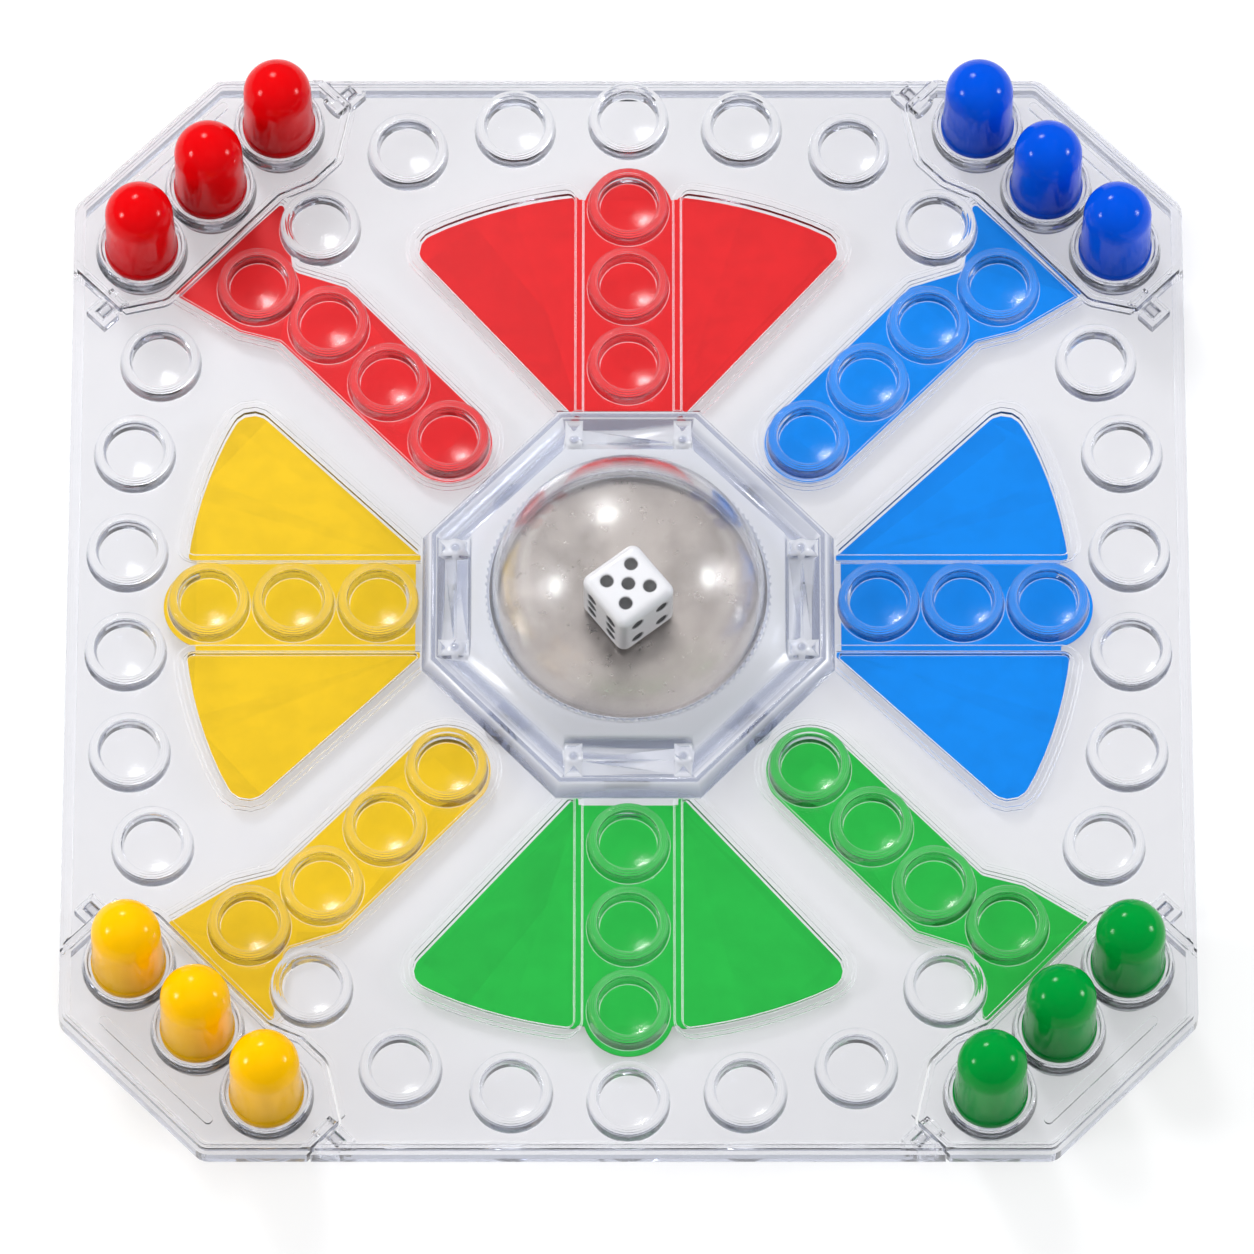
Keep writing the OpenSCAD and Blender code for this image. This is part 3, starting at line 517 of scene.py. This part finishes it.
# high impact polystyrene, moulded: opaque and glossy, with a faint orange peel. The body is painted darker
# than the head, a painted shade
def pegMaterial(colour):
    material, tree = newMaterial(f"glossy {colour} polystyrene")
    head = linear(pegs[colour])
    # painted shade: the body is painted darker than the head, fading out between the two heights
    tone = addNode(tree, "ShaderNodeMix", {"data_type": "RGBA"}, {"A": darker(head, pegs["body"]), "B": head},
                   {"Factor": byHeight(tree, 0, 1, pegs["paintedShadeFrom"], pegs["paintedShadeTo"])})
    shine = addNode(tree, "ShaderNodeBsdfPrincipled", values={"IOR": 1.4, "Specular IOR Level": 0.16},
                    links={"Base Color": tone.outputs["Result"],
                           "Normal": relief(tree, sizeMm=1.6, detail=2.0, strength=0.06, depthMm=0.08),
                           "Roughness": clouds(tree, 0.09, 0.17, sizeMm=3.5, detail=4.0, roughness=0.65,
                                               fromLow=0.4, fromHigh=0.7)})
    addNode(tree, "ShaderNodeOutputMaterial", links={"Surface": shine.outputs[0]})
    return material


# profile: spigot, rounded foot band, a body that narrows to the head, and a half circle for the head
def pegProfile(low, high, foot):
    r, spigot = pegs["headRadius"], pegs["spigotRadius"]
    footLow = low + pegs["spigotHeight"]
    footHigh, headZ = footLow + pegs["footHeight"], high - r
    corners = [(0, low), (spigot, low), (spigot, footLow), (foot, footLow), (foot, footHigh),
               (r + pegs["neckOut"], footHigh + pegs["neckRise"]), (r, headZ)]
    radii = [0, pegs["spigotRound"], 0, *pegs["footRound"], pegs["neckRound"], 0]
    turn = np.linspace(0, np.pi / 2, pegs["headRows"] + 1)[1:]
    head = np.stack([r * np.cos(turn), headZ + r * np.sin(turn)], -1)
    head[-1, 0] = 0
    return np.vstack([filleted(corners, radii, pegs["arcSteps"]), head])


for colour in colours:
    shine = pegMaterial(colour)
    for number in (1, 2, 3):
        node = f"peg_{colour}_{number}"
        low, high = (np.array(corner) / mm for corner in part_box(node))
        profile = pegProfile(low[2], high[2], (high[0] - low[0]) / 2)
        peg = revolved(f"peg{colour.title()}{number}", profile, ((low + high) / 2)[:2])
        finish(peg, node, shine, f"peg_{colour}", node)
print("pegs made")


# lengths in millimetres. The two heights of the foot's painted white are given above the dome's foot
dome = {"tint": "#FCFCFD", "gleam": "#202022", "through": "#F8F8FA", "coatRough": 0.27, "edge": 0.4,
        "edgeHighlight": 0.6, "paintedWhite": 0.25, "paintedWhiteFrom": 1.5, "paintedWhiteTo": 3.5, "wall": 1.2, "flangeWidth": 1.7,
        "flangeHeight": 1.7, "skirtInside": 1.0, "skirtOutside": 0.5, "rounds": (0, 0.2, 0.3, 0.4, 0.5, 0),
        "arcSteps": 4, "rows": 40, "segments": 128}


# thin polystyrene, polished: the wear of many presses softens its highlights. Its foot gets a little painted
# white and its edges a painted highlight line
def domeMaterial():
    material, tree = newMaterial("thin clear polystyrene")
    shell = addNode(tree, "ShaderNodeBsdfPrincipled",
                    values={"Base Color": linear(dome["tint"]), "Transmission Weight": 1.0, "IOR": 1.45,
                            "Roughness": 0.0, "Specular Tint": linear(dome["gleam"]), "Coat Weight": 1.0,
                            "Coat Roughness": dome["coatRough"], "Coat IOR": 1.5},
                    links={"Coat Normal": relief(tree, sizeMm=7, detail=3.0, strength=0.05, depthMm=0.1)})
    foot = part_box("dome")[0][2] / mm
    # painted highlight: a white line along edges
    edgeHighlightShare = paintEdgeHighlight(tree, dome["edge"], dome["edgeHighlight"])[1]
    # painted white at the dome's foot, a painted highlight that fades out upwards
    paintedWhiteShare = byHeight(tree, dome["paintedWhite"], 0.0, foot + dome["paintedWhiteFrom"], foot + dome["paintedWhiteTo"])
    seeThrough(tree, withPaintedWhite(tree, shell, edgeHighlightShare, paintedWhiteShare), dome["through"])
    return material


# shell: half circle outside, half circle inside, joined by the flange at the foot
def makeDome():
    low, high = (np.array(corner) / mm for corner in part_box("dome"))
    flange = (high[0] - low[0]) / 2
    top, foot = high[2], low[2]
    shelf = foot + dome["flangeHeight"]
    outer = flange - dome["flangeWidth"]
    middle, inner = top - outer, outer - dome["wall"]
    turn = np.linspace(0, np.pi / 2, dome["rows"] + 1)
    inside = np.stack([inner * np.cos(turn), middle + inner * np.sin(turn)], -1)[::-1]
    outside = np.stack([outer * np.cos(turn), middle + outer * np.sin(turn)], -1)
    corners = [(inner, middle - dome["skirtInside"]), (inner, foot), (flange, foot), (flange, shelf),
               (outer, shelf), (outer, middle - dome["skirtOutside"])]
    base = filleted(corners, dome["rounds"], dome["arcSteps"])
    inside[0, 0] = outside[-1, 0] = 0
    return revolved("dome", np.vstack([inside, base, outside]), (0, 0), dome["segments"])


finish(makeDome(), "press_dome", domeMaterial(), "clear_dome", "dome")


# lengths in millimetres, and each face's pips in steps of pipStep from its middle
die = {"white": "#F1F1F0", "paint": "#262626", "edge": 16.0, "round": 2.3, "grid": 72, "turn": 38.0,
       "pipRadius": 1.7, "pipDepth": 0.6, "pipStep": 3.5, "paintEdge": 8}
pipPlaces = {
    1: [(0, 0)],
    2: [(-1, -1), (1, 1)],
    3: [(-1, -1), (0, 0), (1, 1)],
    4: [(-1, -1), (1, 1), (-1, 1), (1, -1)],
    5: [(-1, -1), (1, 1), (-1, 1), (1, -1), (0, 0)],
    6: [(-1, -1), (1, 1), (-1, 1), (1, -1), (-1, 0), (1, 0)],
}


# rounded cube: a grid point of each face is drawn in to an inner cube and pushed out again by the edge
# radius. A pip is a dent whose depth is the root of one less the square of the distance from its middle
def makeDie():
    half, r, n = die["edge"] / 2, die["round"], die["grid"]
    line = np.tan(np.linspace(-np.pi / 4, np.pi / 4, n + 1)) * half
    a, b = np.meshgrid(line, line, indexing="ij")
    flat = np.stack([a, b, np.full_like(a, half)], -1).reshape(-1, 3)
    turns = {5: np.eye(3), 2: np.diag([1, -1, -1]), 6: np.array([[0, 0, -1], [-1, 0, 0], [0, 1, 0]]),
             1: np.array([[0, 0, 1], [1, 0, 0], [0, 1, 0]]), 4: np.array([[1, 0, 0], [0, 0, -1], [0, 1, 0]]),
             3: np.array([[-1, 0, 0], [0, 0, 1], [0, 1, 0]])}
    points, inks, faces = [], [], []
    i, j = np.meshgrid(np.arange(n), np.arange(n), indexing="ij")
    corner = (i * (n + 1) + j).reshape(-1)
    quad = np.stack([corner, corner + n + 1, corner + n + 2, corner + 1], -1)
    for count, turn in turns.items():
        inner = np.clip(flat, r - half, half - r)
        out = flat - inner
        rounded = inner + r * out / np.maximum(np.linalg.norm(out, axis=1, keepdims=True), 1e-9)
        places = np.array(pipPlaces[count]) * die["pipStep"]
        away = np.linalg.norm(rounded[:, None, :2] - places[None], axis=2).min(1) / die["pipRadius"]
        rounded[:, 2] -= die["pipDepth"] * np.clip(1 - away ** 2, 0, 1) ** 0.5
        points.append(rounded @ turn.T)
        inks.append(np.clip((1.0 - away) * die["paintEdge"], 0, 1))
        faces.append(quad + len(faces) * len(flat))
    spin = math.radians(die["turn"])
    rotate = np.array([[math.cos(spin), -math.sin(spin), 0], [math.sin(spin), math.cos(spin), 0], [0, 0, 1]])
    low, high = (np.array(corner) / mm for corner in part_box("die"))
    places = np.vstack(points) @ rotate.T + (low + high) / 2
    made = meshPiece("die", places * mm, np.vstack(faces).tolist())
    ink = made.data.attributes.new("ink", "FLOAT", "POINT")
    ink.data.foreach_set("value", np.concatenate(inks).astype(np.float32))
    return made


# urea plastic, tumbled smooth: milky white, with matt black paint in the pips
def dieMaterial():
    material, tree = newMaterial("white urea and black paint")
    ink = addNode(tree, "ShaderNodeAttribute", {"attribute_name": "ink"}).outputs["Fac"]
    colour = addNode(tree, "ShaderNodeMix", {"data_type": "RGBA"},
                     {"A": linear(die["white"]), "B": linear(die["paint"])}, {"Factor": ink})
    gloss = addNode(tree, "ShaderNodeMapRange", values={"To Min": 0.18, "To Max": 0.5}, links={"Value": ink})
    body = addNode(tree, "ShaderNodeBsdfPrincipled", values={"IOR": 1.5},
                   links={"Base Color": colour.outputs["Result"], "Roughness": gloss.outputs["Result"],
                          "Normal": relief(tree, sizeMm=2.5, detail=2.0, strength=0.04, depthMm=0.05)})
    addNode(tree, "ShaderNodeOutputMaterial", links={"Surface": body.outputs[0]})
    return material


finish(makeDie(), "die", dieMaterial(), "die_white", "die", "die_pips")
print("dome and die made")
